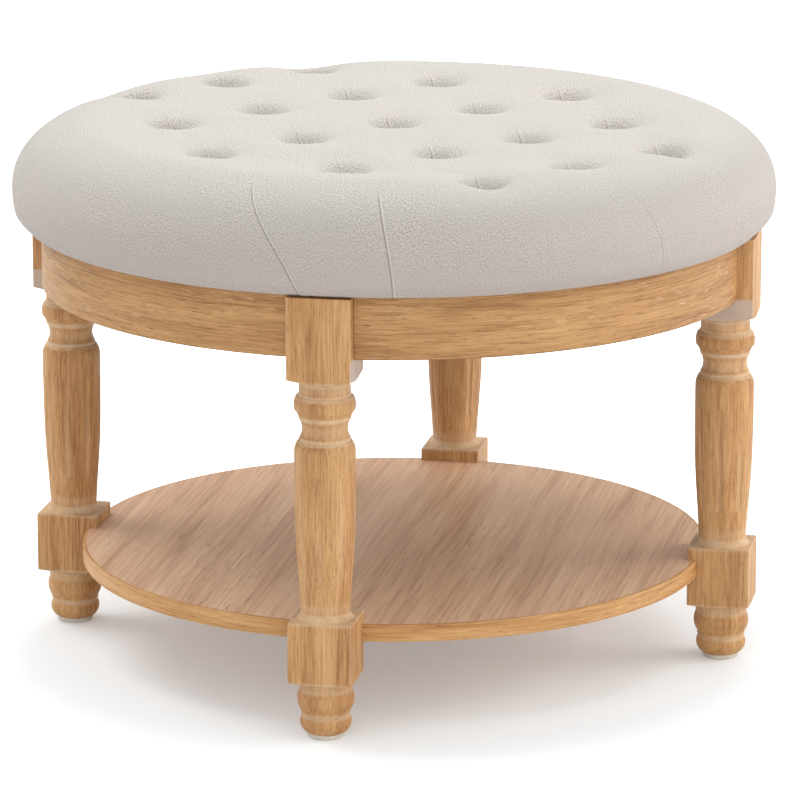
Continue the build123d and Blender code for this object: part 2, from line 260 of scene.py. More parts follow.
def shade(red, green, blue):
    """A colour as it is read off a colour card, for the shader."""
    def straighten(value):
        value /= 255
        return value / 12.92 if value <= 0.04045 else ((value + 0.055) / 1.055) ** 2.4
    return (straighten(red), straighten(green), straighten(blue), 1)


class Finish:
    """A material and the few nodes that all the finishes here are made of."""

    def __init__(self, name, roughness=0.5, specular=0.5):
        self.material = bpy.data.materials.new(name)
        self.material.use_nodes = True
        self.tree = self.material.node_tree
        self.surface = self.tree.nodes["Principled BSDF"]
        self.surface.inputs["Roughness"].default_value = roughness
        self.surface.inputs["Specular IOR Level"].default_value = specular

    def add(self, kind, **settings):
        node = self.tree.nodes.new(kind)
        for key, value in settings.items():
            setattr(node, key, value)
        return node

    def join(self, value, socket):
        """Leads another node's value to a socket, or sets a plain one there."""
        if isinstance(value, bpy.types.NodeSocket):
            self.tree.links.new(value, socket)
        else:
            socket.default_value = value

    def spot(self, attribute=None):
        """Where on the piece: object coordinates, or a vector kept on its vertices."""
        if attribute:
            return self.add("ShaderNodeAttribute", attribute_name=attribute).outputs["Vector"]
        return self.add("ShaderNodeTexCoord").outputs["Object"]

    def stretch(self, spot, scale, turn=(0, 0, 0), shift=(0, 0, 0)):
        node = self.add("ShaderNodeMapping")
        node.inputs["Scale"].default_value = scale
        node.inputs["Rotation"].default_value = turn
        node.inputs["Location"].default_value = shift
        self.join(spot, node.inputs["Vector"])
        return node.outputs["Vector"]

    def noise(self, spot, scale, detail=3, rough=0.55, warp=0):
        node = self.add("ShaderNodeTexNoise")
        node.inputs["Scale"].default_value = scale
        node.inputs["Detail"].default_value = detail
        node.inputs["Roughness"].default_value = rough
        node.inputs["Distortion"].default_value = warp
        self.join(spot, node.inputs["Vector"])
        return node.outputs["Fac"]

    def ramp(self, value, *stops):
        """Colours at places along a value."""
        node = self.add("ShaderNodeValToRGB")
        marks = node.color_ramp.elements
        while len(marks) < len(stops):
            marks.new(0.5)
        for mark, (place, colour) in zip(marks, stops):
            mark.position = place
            mark.color = colour
        self.join(value, node.inputs["Fac"])
        return node.outputs["Color"]

    def mix(self, share, first, second):
        node = self.add("ShaderNodeMix", data_type="RGBA")
        self.join(share, node.inputs[0])
        self.join(first, node.inputs[6])
        self.join(second, node.inputs[7])
        return node.outputs[2]

    def sum(self, how, first, second=0.0):
        node = self.add("ShaderNodeMath", operation=how)
        self.join(first, node.inputs[0])
        self.join(second, node.inputs[1])
        return node.outputs[0]

    def span(self, value, low, high, to_low=0.0, to_high=1.0):
        """A value eased from one range to another."""
        node = self.add("ShaderNodeMapRange", interpolation_type="SMOOTHSTEP")
        for socket, given in zip(node.inputs, (value, low, high, to_low, to_high)):
            self.join(given, socket)
        return node.outputs[0]

    def parts(self, spot):
        node = self.add("ShaderNodeSeparateXYZ")
        self.join(spot, node.inputs[0])
        return node.outputs[0], node.outputs[1], node.outputs[2]

    def colour(self, value):
        self.join(value, self.surface.inputs["Base Color"])

    def gloss(self, value):
        self.join(value, self.surface.inputs["Roughness"])

    def relief(self, height, depth, strength=1.0):
        node = self.add("ShaderNodeBump")
        node.inputs["Strength"].default_value = strength
        node.inputs["Distance"].default_value = depth
        self.join(height, node.inputs["Height"])
        previous = self.surface.inputs["Normal"].links
        if previous:
            self.join(previous[0].from_socket, node.inputs["Normal"])
        self.join(node.outputs["Normal"], self.surface.inputs["Normal"])

    def put_on(self, *pieces):
        for piece in pieces:
            piece.data.materials.clear()
            piece.data.materials.append(self.material)


def wood(name, spot_attribute, along, tones, flecks=0.0, pores=0.35, shift=(0, 0, 0)):
    """Straight-grained wood. along is the axis that the grain runs on, tones are dark, middle and light."""
    finish = Finish(name, roughness=0.55, specular=0.35)
    spot = finish.spot(spot_attribute)
    def lengths(across, run):
        scale = [across] * 3
        scale[along] = run
        return tuple(scale)
    dark, middle, light = tones
    broad = finish.noise(finish.stretch(spot, lengths(60, 5), shift=shift), 1, 4, 0.6, 0.3)
    streaks = finish.noise(finish.stretch(spot, lengths(620, 22), shift=shift), 1, 5, 0.66, 0.15)
    tone = finish.sum("ADD", finish.sum("MULTIPLY", broad, 0.5), finish.sum("MULTIPLY", streaks, 0.5))
    body = finish.ramp(tone, (0.36, dark), (0.5, middle), (0.64, light))
    fine = finish.noise(finish.stretch(spot, lengths(1500, 45), shift=shift), 1, 2, 0.5)
    pore = finish.span(fine, 0.60, 0.70)
    pore_brown = tuple(c * 0.55 for c in dark[:3]) + (1,)
    body = finish.mix(finish.sum("MULTIPLY", pore, pores), body, pore_brown)
    fleck = finish.noise(finish.stretch(spot, lengths(1000, 110), shift=(2.2, 6.4, 1.7)), 1, 1, 0.4)
    fleck_brown = tuple(c * 0.45 for c in dark[:3]) + (1,)
    body = finish.mix(finish.span(fleck, 0.66, 0.72, 0.0, pores), body, fleck_brown)
    if flecks:
        dash = finish.noise(finish.stretch(spot, lengths(1300, 60), shift=(7.3, 2.1, 4.4)), 1, 1, 0.4)
        where = finish.noise(finish.stretch(spot, lengths(60, 9), shift=(1.3, 5.1, 2.4)), 1, 2, 0.5)
        dash = finish.sum("MULTIPLY", finish.span(dash, 0.62, 0.70), finish.span(where, 0.48, 0.66))
        body = finish.mix(finish.sum("MULTIPLY", dash, flecks), body, shade(236, 204, 160))
    finish.gloss(finish.span(fine, 0.3, 0.75, 0.50, 0.66))
    finish.relief(streaks, 0.0004, 0.5)
    finish.relief(pore, -0.0002, 0.6)
    return finish, spot, body


oak_tones = (shade(160, 108, 62), shade(196, 146, 94), shade(218, 173, 120))

# Legs: honey oak with a lime wash left in the turned grooves, in the flutes and on the corners
oak, _, oak_body = wood("leg_oak", None, 2, oak_tones, pores=0.4)
place = oak.spot("leg_place")
leg_x, leg_y, leg_z = oak.parts(place)
# Height of each limed groove on the leg, how far the lime reaches up and down from there, and its strength
lime_bands = [(0.3055, 0.0050, 0.60), (0.2937, 0.0036, 0.62), (0.2745, 0.0034, 0.64), (0.2562, 0.0036, 0.64),
              (0.1062, 0.0060, 0.62), (0.0488, 0.0050, 0.50), (0.0200, 0.0034, 0.62), (0.2650, 0.0070, 0.24),
              (0.0435, 0.0050, 0.34), (0.3010, 0.0070, 0.28), (0.1120, 0.0090, 0.26)]
lime = None
for height, reach, amount in lime_bands:
    off = oak.sum("ABSOLUTE", oak.sum("SUBTRACT", leg_z, height))
    band = oak.sum("MULTIPLY", oak.span(off, reach, reach * 0.25, 0, 1), amount)
    lime = band if lime is None else oak.sum("MAXIMUM", lime, band)
smudge = oak.noise(oak.stretch(place, (90, 90, 160)), 1, 4, 0.6)
lime = oak.sum("MULTIPLY", lime, oak.span(smudge, 0.25, 0.6, 0.45, 1.0))
reach_x = oak.sum("ABSOLUTE", leg_x)
reach_y = oak.sum("ABSOLUTE", leg_y)
corner = oak.span(oak.sum("MINIMUM", reach_x, reach_y), 0.0252, 0.0268)
corner = oak.sum("MULTIPLY", corner, oak.span(smudge, 0.35, 0.65, 0.1, 0.5))
# The upper blocks' side faces below the rails are painted paler: painted light, standing in for light falling
# on them from the side
block_side_painted_light = oak.sum("MULTIPLY", oak.span(reach_y, 0.02665, 0.02690),
                     oak.span(leg_z, 0.2995, 0.3030, 0.0, 0.78))
block_side_painted_light = oak.sum("MULTIPLY", block_side_painted_light, oak.span(leg_z, rail_low + 0.0005, rail_low - 0.0005))
flute_lime = oak.parts(oak.spot("leg_wash"))[0]
lime = oak.sum("MAXIMUM", lime, corner)
lime = oak.sum("MAXIMUM", lime, flute_lime)
oak_limed = oak.mix(lime, oak_body, shade(222, 196, 164))
# Painted light on the blocks' side faces goes over the limed oak
oak.colour(oak.mix(block_side_painted_light, oak_limed, shade(200, 180, 166)))

# Rails and lipping: the same oak with the grain running round, and pale dashes in its pores
rail_tones = (shade(150, 104, 62), shade(187, 139, 88), shade(206, 160, 107))
rail_oak, _, rail_body = wood("rail_oak", "run", 0, rail_tones, flecks=0.6, pores=0.45)
rail_height = rail_oak.parts(rail_oak.spot("run_height"))[0]
# Painted shade along the rails' lower edge, darker towards the bottom
rail_low_painted_shade = rail_oak.span(rail_height, 0.0014, 0.0004, 0.0, 0.5)
rail_oak.colour(rail_oak.mix(rail_low_painted_shade, rail_body, shade(96, 60, 34)))
lip_tones = (shade(168, 114, 62), shade(202, 150, 94), shade(218, 172, 118))
lip_oak, _, lip_body = wood("lipping_oak", "run", 0, lip_tones, flecks=0.25, pores=0.4, shift=(3, 1, 2))
lip_oak.colour(lip_body)

# Shelf: brown veneer, its grain straight across the disc
veneer = Finish("shelf_veneer", roughness=0.5, specular=0.35)
grain_turn = math.radians(-90)
veneer_spot = veneer.stretch(veneer.spot(), (1, 1, 1), turn=(0, 0, grain_turn))
wide = veneer.noise(veneer.stretch(veneer_spot, (2.6, 40, 8)), 1, 4, 0.6, 0.15)
thin = veneer.noise(veneer.stretch(veneer_spot, (9, 340, 60)), 1, 6, 0.65, 0.1)
veneer_tone = veneer.sum("ADD", veneer.sum("MULTIPLY", wide, 0.45), veneer.sum("MULTIPLY", thin, 0.55))
veneer_body = veneer.ramp(veneer_tone, (0.36, shade(186, 138, 103)), (0.5, shade(220, 176, 140)),
                          (0.64, shade(236, 199, 165)))
tick = veneer.noise(veneer.stretch(veneer_spot, (30, 620, 90), shift=(3, 8, 1)), 1, 2, 0.5)
tick_place = veneer.noise(veneer.stretch(veneer_spot, (7, 16, 6), shift=(5, 2, 1)), 1, 2, 0.5)
tick = veneer.sum("MULTIPLY", veneer.span(tick, 0.60, 0.68), veneer.span(tick_place, 0.48, 0.66))
veneer_body = veneer.mix(veneer.sum("MULTIPLY", tick, 0.45), veneer_body, shade(112, 80, 60))
veneer.colour(veneer_body)
veneer.gloss(veneer.span(thin, 0.3, 0.7, 0.44, 0.58))
veneer.relief(thin, 0.0003, 0.4)

# Linen: a fine heathered weave that follows the cloth, with a painted shadow line in each fold and a painted
# highlight beside it
linen = Finish("linen", roughness=0.92, specular=0.2)
linen.surface.inputs["Sheen Weight"].default_value = 0.1
linen.surface.inputs["Sheen Roughness"].default_value = 0.5
cloth = linen.spot("cloth_run")
warp = linen.noise(linen.stretch(cloth, (2100, 620, 1)), 1, 1, 0.5)
weft = linen.noise(linen.stretch(cloth, (620, 2100, 1), shift=(3, 7, 0)), 1, 1, 0.5)
heather = linen.noise(linen.stretch(cloth, (1700, 720, 1), turn=(0, 0, 0.8)), 1, 3, 0.7)
weave = linen.sum("ADD", linen.sum("ADD", warp, weft), linen.sum("MULTIPLY", heather, 2.0))
weave = linen.sum("MULTIPLY", weave, 0.25)
cloud = linen.noise(linen.stretch(cloth, (10, 10, 1)), 1, 3, 0.5)
linen_body = linen.ramp(weave, (0.44, shade(138, 133, 127)), (0.5, shade(188, 182, 175)),
                        (0.56, shade(226, 220, 213)))
linen_body = linen.mix(linen.span(cloud, 0.38, 0.62, 0.0, 0.35), linen_body, shade(186, 183, 174))
# Painted shade: the cloth is darker low on the side, at the bend of the shoulder and inside the tufts
low_side_painted_shade, inside, bend = linen.parts(linen.spot("cloth_painted_shade"))
linen_body = linen.mix(linen.sum("MULTIPLY", low_side_painted_shade, 0.45), linen_body, shade(182, 164, 157))
linen_body = linen.mix(linen.sum("MULTIPLY", bend, 0.25), linen_body, shade(156, 150, 141))
linen_body = linen.mix(linen.sum("MULTIPLY", inside, 0.34), linen_body, shade(160, 156, 148))
fold_off, fold_share, _ = linen.parts(linen.spot("fold"))
# Painted shade: a thin dark line along each fold; painted highlight: a pale line just beside it
fold_painted_shade = linen.sum("MULTIPLY", linen.span(linen.sum("ABSOLUTE", fold_off), 0.0008, 0.0002), fold_share)
fold_painted_highlight = linen.sum("MULTIPLY", linen.span(linen.sum("ABSOLUTE", linen.sum("SUBTRACT", fold_off, 0.0017)),
                                              0.0011, 0.0003), fold_share)
linen_body = linen.mix(linen.sum("MULTIPLY", fold_painted_highlight, 0.35), linen_body, shade(226, 222, 216))
linen_body = linen.mix(linen.sum("MULTIPLY", fold_painted_shade, 0.55), linen_body, shade(104, 92, 84))
linen.colour(linen_body)
linen.relief(linen.sum("ADD", warp, weft), 0.0002, 0.4)

plain_tones = (shade(176, 140, 98), shade(200, 164, 120), shade(216, 184, 142))
plain_wood, _, plain_body = wood("brace_wood", None, 1, plain_tones, pores=0.25)
plain_wood.colour(plain_body)
plywood_tones = (shade(178, 142, 98), shade(200, 166, 120), shade(214, 184, 140))
plywood, _, plywood_body = wood("plywood", None, 0, plywood_tones, pores=0.2)
plywood.colour(plywood_body)
beech_tones = (shade(190, 160, 120), shade(206, 178, 138), shade(220, 194, 156))
beech, _, beech_body = wood("dowel_beech", None, 2, beech_tones, pores=0.15)
beech.colour(beech_body)

zinc = Finish("zinc_steel", roughness=0.35, specular=0.5)
zinc.surface.inputs["Metallic"].default_value = 1
zinc_cloud = zinc.noise(zinc.stretch(zinc.spot(), (260, 260, 260)), 1, 3, 0.6)
zinc.colour(zinc.ramp(zinc_cloud, (0.35, shade(178, 180, 182)), (0.65, shade(212, 213, 214))))
zinc.gloss(zinc.span(zinc_cloud, 0.3, 0.7, 0.28, 0.46))

nylon = Finish("glide_nylon", roughness=0.5, specular=0.4)
nylon_cloud = nylon.noise(nylon.stretch(nylon.spot(), (300, 300, 300)), 1, 2, 0.5)
nylon.colour(nylon.ramp(nylon_cloud, (0.3, shade(206, 198, 182)), (0.7, shade(222, 215, 202))))
nylon.relief(nylon_cloud, 0.0001, 0.4)

cord_finish = Finish("tuft_twine", roughness=0.85, specular=0.2)
lay = cord_finish.noise(cord_finish.stretch(cord_finish.spot(), (900, 900, 400)), 1, 2, 0.5)
cord_finish.colour(cord_finish.ramp(lay, (0.3, shade(182, 173, 160)), (0.7, shade(208, 200, 188))))
cord_finish.relief(lay, 0.0004, 0.6)

foam_finish = Finish("foam", roughness=0.95, specular=0.15)
cells = foam_finish.noise(foam_finish.stretch(foam_finish.spot(), (700, 700, 700)), 1, 3, 0.6)
foam_finish.colour(foam_finish.ramp(cells, (0.3, shade(222, 208, 166)), (0.7, shade(242, 232, 198))))
foam_finish.relief(cells, 0.0006, 0.7)

black_cloth = Finish("dust_cloth", roughness=0.9, specular=0.15)
fibres = black_cloth.noise(black_cloth.stretch(black_cloth.spot(), (600, 600, 600)), 1, 4, 0.65, 0.8)
spots = black_cloth.noise(black_cloth.stretch(black_cloth.spot(), (260, 260, 260)), 1, 1, 0.4)
black_cloth.colour(black_cloth.ramp(fibres, (0.3, shade(26, 26, 27)), (0.7, shade(52, 52, 54))))
black_cloth.relief(black_cloth.sum("ADD", fibres, spots), 0.0004, 0.6)

# Legs, turned between square blocks

blank_radius = 0.0394  # wider than the blocks' corners
corner_round, edge_ease = 0.0009, 0.0006
seat_gap = 0.0001  # between the shelf and its notch
leg_rings = [(0.0155, 0.0040)]
leg_rings += bow((0.0155, 0.0040), (0.0216, 0.0133), (0.02065, 0.0182), 10)
leg_rings += [(0.0197, 0.0191), (0.0197, 0.0207), (0.0208, 0.0214), (0.0208, 0.0240)]
leg_rings += bow((0.0208, 0.0240), (0.0239, 0.0326), (0.0223, 0.0410), 10)
leg_rings += [(0.0223, 0.0475), (0.0270, 0.0505), (blank_radius, 0.0520), (blank_radius, lower_block_top)]
leg_rings += [(0.0243, lower_block_top)]
leg_rings += bow((0.0243, lower_block_top), (0.0217, 0.1060), (0.0206, 0.1108), 8)
taper = flow([(0.0206, 0.1108), (0.0214, 0.1230), (0.0223, 0.1370), (0.0233, 0.1500), (0.0243, 0.1650),
              (0.0250, 0.1810), (0.0254, 0.2050), (0.0256, 0.2250), (0.0256, 0.2460)], 3)
leg_rings += taper
leg_rings += bow((0.0256, 0.2460), (0.0248, 0.2508), (0.0227, 0.2550), 6)
leg_rings += [(0.0217, 0.2553), (0.0214, 0.2577)]
leg_rings += bow((0.0214, 0.2577), (0.0191, 0.2650), (0.0212, 0.2733), 10)
leg_rings += [(0.0219, 0.2740), (0.0220, 0.2760), (0.0231, 0.2784), (0.0242, 0.2810), (0.0254, 0.2816)]
leg_rings += bow((0.0254, 0.2816), (0.0259, 0.2852), (0.0243, 0.2925), 10)
leg_rings += [(0.0222, 0.2942), (0.0216, 0.2972), (0.0214, 0.3050), (0.0270, 0.3075)]
leg_rings += [(blank_radius, 0.3111), (blank_radius, leg_top)]
leg = turn_up("turned_leg_right", leg_rings, 96, place=(leg_circle, 0))

# Square stock, longer than the leg, whose faces the blocks keep
stock_low, stock_high = -0.001, leg_top + 0.003
stock = block((2 * block_half, 2 * block_half, stock_high - stock_low),
              (leg_circle, 0, (stock_high + stock_low) / 2))
open_mesh(stock)
pick(stock, "EDGE", lambda e: abs(e.verts[0].co.z - e.verts[1].co.z) > block_half)
bpy.ops.mesh.bevel(offset=corner_round, segments=3)
close_mesh()
cut(leg, stock, "INTERSECT")

# The lower block's top edge, eased
rim_start, same_height = 0.0255, 0.00003
open_mesh(leg)
pick(leg, "EDGE", lambda e: all(abs(v.co.z - lower_block_top) < same_height
                                and max(abs(v.co.x - leg_circle), abs(v.co.y)) > rim_start for v in e.verts))
bpy.ops.mesh.bevel(offset=edge_ease, segments=2)
close_mesh()

# Eight flutes that follow the taper, with round ends
flute_count, flute_round, flute_depth = 8, 0.0052, 0.0011
flute_low, flute_high = 0.1375, 0.2255
flute_steps, end_steps, tip_share = 12, 6, 0.4


def flute_line():
    """A flute's line up the leg, thinning to a tip at both ends."""
    def out(height):
        face = float(np.interp(height, [z for r, z in taper], [r for r, z in taper]))
        return face + flute_round - flute_depth
    turns = [quarter * (1 - (k + tip_share) / end_steps) for k in range(end_steps)]
    line = [(out(flute_low), flute_low - flute_round * math.sin(a), flute_round * math.cos(a)) for a in turns]
    for k in range(flute_steps + 1):
        height = flute_low + (flute_high - flute_low) * k / flute_steps
        line.append((out(height), height, flute_round))
    line += [(out(flute_high), flute_high + flute_round * math.sin(a), flute_round * math.cos(a))
             for a in reversed(turns)]
    return line


for turn in range(flute_count):
    tool = groove_tool(flute_line())
    around_leg = Matrix.Rotation(turn * 4 * quarter / flute_count, 4, "Z")
    tool.data.transform(Matrix.Translation((leg_circle, 0, 0)) @ around_leg)
    cut(leg, tool)

# Notch for the shelf
drop_selection()
bpy.ops.mesh.primitive_cylinder_add(vertices=240, radius=shelf_edge + seat_gap,
                                    depth=notch_top - shelf_low + 2 * seat_gap,
                                    location=(0, 0, (notch_top + shelf_low) / 2))
cut(leg, bpy.context.view_layer.objects.active)
face_out(leg)

# Where the lime lies in the flutes, fading out towards their upper ends
wash_low, wash_high, wash_fade, wash_share = 0.132, 0.231, 0.05, 0.15
least_groove = 0.0003
local = points_of(leg) - np.array((leg_circle, 0, 0))
note(leg, "leg_place", local)
radius = np.hypot(local[:, 0], local[:, 1])
profile_z = [z for r, z in leg_rings]
profile_r = [r for r, z in leg_rings]
turned = np.interp(local[:, 2], profile_z, profile_r)
in_flute = (local[:, 2] > wash_low) & (local[:, 2] < wash_high) & (radius < turned - least_groove)
flute_wash = np.where(in_flute, wash_share * np.clip((wash_high - local[:, 2]) / wash_fade, 0, 1), 0.0)
note(leg, "leg_wash", np.stack([flute_wash] * 3, axis=1))
smooth(leg)
oak.put_on(leg)
legs = {side: turned_copy(leg, f"turned_leg_{side}", turns * quarter) if turns else leg
        for side, turns in sides.items()}
for side, piece in legs.items():
    finish_piece(piece, "oak", f"leg_{side}")

# Rails, bent round between the legs

rail_gap, rail_ease = 0.0004, 0.0008
grain_step = np.array((0.7, 0.13, 0.31))  # from one rail to the next, so that no two show the same grain
rail = ring_section("rail", rail_inner, rail_outer, rail_low, leg_top)
open_mesh(rail)
bpy.ops.mesh.select_all(action="SELECT")
bpy.ops.mesh.bevel(offset=rail_ease, segments=3, affect="VERTICES")
bpy.ops.mesh.select_all(action="SELECT")
bpy.ops.mesh.spin(steps=72, angle=-quarter, center=(0, 0, 0), axis=(0, 0, 1))
for normal in ((1, 0, 0), (0, 1, 0)):
    bpy.ops.mesh.select_all(action="SELECT")
    bpy.ops.mesh.bisect(plane_co=tuple((block_half + rail_gap) * n for n in normal), plane_no=normal,
                        use_fill=True, clear_inner=True)
close_mesh()
face_out(rail)
spots = points_of(rail)
bend = np.arctan2(spots[:, 1], spots[:, 0])
round_run = np.stack([bend * rail_outer, np.hypot(spots[:, 0], spots[:, 1]), spots[:, 2]], axis=1)
note(rail, "run", round_run)
smooth(rail)
rail_oak.put_on(rail)
for turns, name in enumerate(("apron_back_right", "apron_back_left", "apron_front_left",
                              "apron_front_right")):
    piece = turned_copy(rail, f"rail_{name[6:]}", turns * quarter)
    note(piece, "run", round_run + turns * grain_step)
    note(piece, "run_height", np.repeat(round_run[:, 2:] - rail_low, 3, axis=1))
    finish_piece(piece, "apron_oak", name)
bpy.data.objects.remove(rail, do_unlink=True)

# Shelf panel and its lipping

panel_edge = shelf_edge - lipping_width
panel = turn_up("veneered_panel", [(panel_edge, shelf_low), (panel_edge, shelf_high)], 256)
glue_line, lip_round = 0.0001, 0.0009
lip = ring_section("solid_lipping", panel_edge + glue_line, shelf_edge, shelf_low, shelf_high)
open_mesh(lip)
pick(lip, "VERT", lambda v: v.co.x > shelf_edge - lipping_width / 2)
bpy.ops.mesh.bevel(offset=lip_round, segments=3, affect="VERTICES")
bpy.ops.mesh.select_all(action="SELECT")
bpy.ops.mesh.delete(type="ONLY_FACE")
bpy.ops.mesh.select_all(action="SELECT")
bpy.ops.mesh.spin(steps=256, angle=4 * quarter, center=(0, 0, 0), axis=(0, 0, 1))
close_mesh()
face_out(lip)

# The shelf is thinner inside the notches of the legs
notch_size = (0.02, 2 * block_half + 2 * seat_gap, 0.01)
notch_place = (leg_circle - block_half - seat_gap + notch_size[0] / 2, 0,
               notch_top - seat_gap + notch_size[2] / 2)
for piece in (panel, lip):
    for turns in range(4):
        tool = block(notch_size, notch_place)
        tool.data.transform(Matrix.Rotation(turns * quarter, 4, "Z"))
        cut(piece, tool)
    face_out(piece)
spots = points_of(lip)
bend = np.arctan2(spots[:, 1], spots[:, 0])
lip_reach = np.hypot(spots[:, 0], spots[:, 1]) + np.sign(bend)
note(lip, "run", np.stack([np.abs(bend) * shelf_edge, lip_reach, spots[:, 2]], axis=1))
smooth(panel)
smooth(lip)
veneer.put_on(panel)
lip_oak.put_on(lip)
finish_piece(panel, "shelf_veneer", "shelf_panel")
finish_piece(lip, "lipping_oak", "shelf_lipping")

# Cushion

lean = math.radians(11.2)
column_gap, row_gap, row_lean = 0.09564, 0.12418, 0.03705
across_way = np.array((math.cos(lean), math.sin(lean)))
column_way = np.array((-math.sin(lean), math.cos(lean)))
tufts = []
for column in range(-2, 3):
    for row in range(5 - abs(column)):
        step = row - (4 - abs(column)) / 2
        tufts.append((column * column_gap - step * row_lean) * across_way + step * row_gap * column_way)
tufts = np.array(tufts)
pleat_way = row_gap * column_way - row_lean * across_way
pleat_way /= np.hypot(*pleat_way)


def around(degrees, power):
    """Cosine and sine of an angle, raised so that the quarter round gets fuller."""
    angle = math.radians(degrees)
    return abs(math.cos(angle)) ** (2 / power), abs(math.sin(angle)) ** (2 / power)


slack = 0.0015  # left for the filling to take up
side_foot, tuck_in, waist_rise = 0.300, 0.035, 0.022
shoulder_start, shoulder_reach, shoulder_rise = 0.2375 - slack, 0.0975, 0.0705
side_outline = [(side_foot - slack + tuck_in * wide, waist - waist_rise * high)
                for high, wide in (around(a, 2.8) for a in (0, 2, 5, 10, 16, 24, 34, 45, 58, 72, 84))]
shoulder_outline = [(shoulder_start + shoulder_reach * wide, waist + shoulder_rise * high)
                    for wide, high in (around(a, 2.3) for a in (3, 6, 10, 15, 20, 25, 30, 36, 42, 48, 54, 60,
                                                                66, 72, 78, 84, 90))]
crown_outline = [(0.200, 0.4729), (0.150, 0.4733), (0.100, 0.4736), (0.050, 0.4738), (0.010, 0.4739)]
cushion_outline = side_outline + shoulder_outline + crown_outline
plump = turn_up("linen_cushion", cushion_outline, 160)


dish_depth, dish_forward, dish_flat, dish_slope = 0.0055, 0.012, 0.185, 0.085
hollow_depth, hollow_reach = 0.0060, 0.030
stitch_radius, cup_reach, cup_power = 0.003, 0.022, 1.6


def tuft_drop(gaps, reach, forward):
    """How far the tufts draw the cover down: a shallow dish, a wide hollow and a steep cup at each stitch."""
    dish = (dish_depth + dish_forward * forward) * (1 - np.clip((reach - dish_flat) / dish_slope, 0, 1) ** 2)
    hollow = hollow_depth * np.exp(-(gaps / hollow_reach) ** 2).sum(axis=1)
    cup = np.clip(1 - np.maximum(gaps.min(axis=1) - stitch_radius, 0) / cup_reach, 0, 1) ** cup_power
    return np.minimum(dish + hollow, tuft_depth) * (1 - cup) + tuft_depth * cup


# Folds that run out from the tufts and down the side: bearing at the bottom, its swing at the top, strength
side_folds = [(267.0, -9.2, 1.0), (281.0, -2.3, 0.9), (303.6, -0.5, 0.15), (323.8, -4.5, 0.45),
              (200.5, 7.7, 0.55), (343.5, -2.6, 0.35)]
side_folds += [(bearing - 180, swing, share) for bearing, swing, share in side_folds]
side_start, crown_low = 0.25, 0.43
fold_foot, fold_rise, most_rise, fold_power = 0.385, 0.079, 1.15, 1.5
fold_inner, inner_fade, fold_top, top_fade = 0.262, 0.016, 0.4675, 0.008
fold_reach, pleat_reach, pleat_long, pleat_share = 0.018, 0.012, 0.046, 0.6
pleat_start, pleat_end, pleat_fade = 0.004, 0.036, 0.016


def folds_at(spots):
    """For every point the signed distance to the nearest fold, and how strong that fold is there."""
    reach = np.hypot(spots[:, 0], spots[:, 1])
    bearing = np.degrees(np.arctan2(spots[:, 1], spots[:, 0]))
    off = np.full(len(spots), 0.02)
    share = np.zeros(len(spots))
    climb = np.clip((spots[:, 2] - fold_foot) / fold_rise, 0, most_rise) ** fold_power
    shown = np.clip((reach - fold_inner) / inner_fade, 0, 1)
    shown *= np.clip((fold_top - spots[:, 2]) / top_fade, 0, 1)
    for low_bearing, swing, strength in side_folds:
        gap = np.radians((bearing - low_bearing - swing * climb + 180) % 360 - 180) * reach
        close = (np.abs(gap) < fold_reach) & (reach > side_start)
        off[close] = gap[close]
        share[close] = (strength * shown)[close]
    for tuft in tufts:
        away = spots[:, :2] - tuft
        along = away @ pleat_way
        gap = away @ np.array((pleat_way[1], -pleat_way[0]))
        close = (np.abs(gap) < pleat_reach) & (along > 0) & (along < pleat_long) & (spots[:, 2] > crown_low)
        off[close] = gap[close]
        begun = np.clip((along - pleat_start) / pleat_start, 0, 1)
        ending = np.clip((pleat_end - along) / pleat_fade, 0, 1)
        share[close] = (pleat_share * begun * ending)[close]
    return off, share


def remesh(piece, size):
    take(piece)
    piece.data.remesh_voxel_size = size
    piece.data.remesh_voxel_adaptivity = 0
    bpy.ops.object.voxel_remesh()


remesh(plump, 0.0045)
spots = points_of(plump)
crown_start = waist + 0.004
crown = spots[:, 2] > crown_start

# Cloth gathers towards each tuft, so that the walls of the tufts keep enough of it
gather_reach, gather_share = 0.050, 0.42
drop_start, drop_fade = 0.432, 0.024
x, y = spots[:, 0].copy(), spots[:, 1].copy()
for tx, ty in tufts:
    gap = np.hypot(spots[:, 0] - tx, spots[:, 1] - ty)
    pull = np.where(crown, np.clip(1 - gap / gather_reach, 0, 1) ** 2 * gather_share, 0)
    x -= (spots[:, 0] - tx) * pull
    y -= (spots[:, 1] - ty) * pull
gaps = np.hypot(x[:, None] - tufts[None, :, 0], y[:, None] - tufts[None, :, 1])
forward = x * across_way[1] - y * across_way[0]
drop = tuft_drop(gaps, np.hypot(x, y), forward) * np.clip((spots[:, 2] - drop_start) / drop_fade, 0, 1)
spots = np.stack([x, y, spots[:, 2] - np.where(crown, drop, 0)], axis=1)
put_points(plump, spots)
before = spots.copy()
nearest = np.min(gaps, axis=1)

# The cover swells between its stitches, and keeps a little of that: more on the side than on the top
stitch_hold, foot_hold, last_frame = 0.0075, leg_top + 0.002, 20
top_give, side_give, side_top, side_fade, clear_of_tufts = 0.0011, 0.0019, 0.466, 0.03, 0.04
held = ((nearest < stitch_hold) & crown) | (spots[:, 2] < foot_hold)
plump.vertex_groups.new(name="held")
plump.vertex_groups["held"].add([int(i) for i in np.nonzero(held)[0]], 1.0, "REPLACE")
take(plump)
sim = plump.modifiers.new("cover", "CLOTH")
sim.settings.quality = 5
sim.settings.mass = 0.3
sim.settings.tension_stiffness = 18
sim.settings.compression_stiffness = 18
sim.settings.shear_stiffness = 8
sim.settings.bending_stiffness = 0.6
sim.settings.use_pressure = True
sim.settings.uniform_pressure_force = 4
sim.settings.vertex_group_mass = "held"
sim.settings.effector_weights.gravity = 0
sim.collision_settings.use_collision = False
sim.point_cache.frame_start = 1
sim.point_cache.frame_end = last_frame
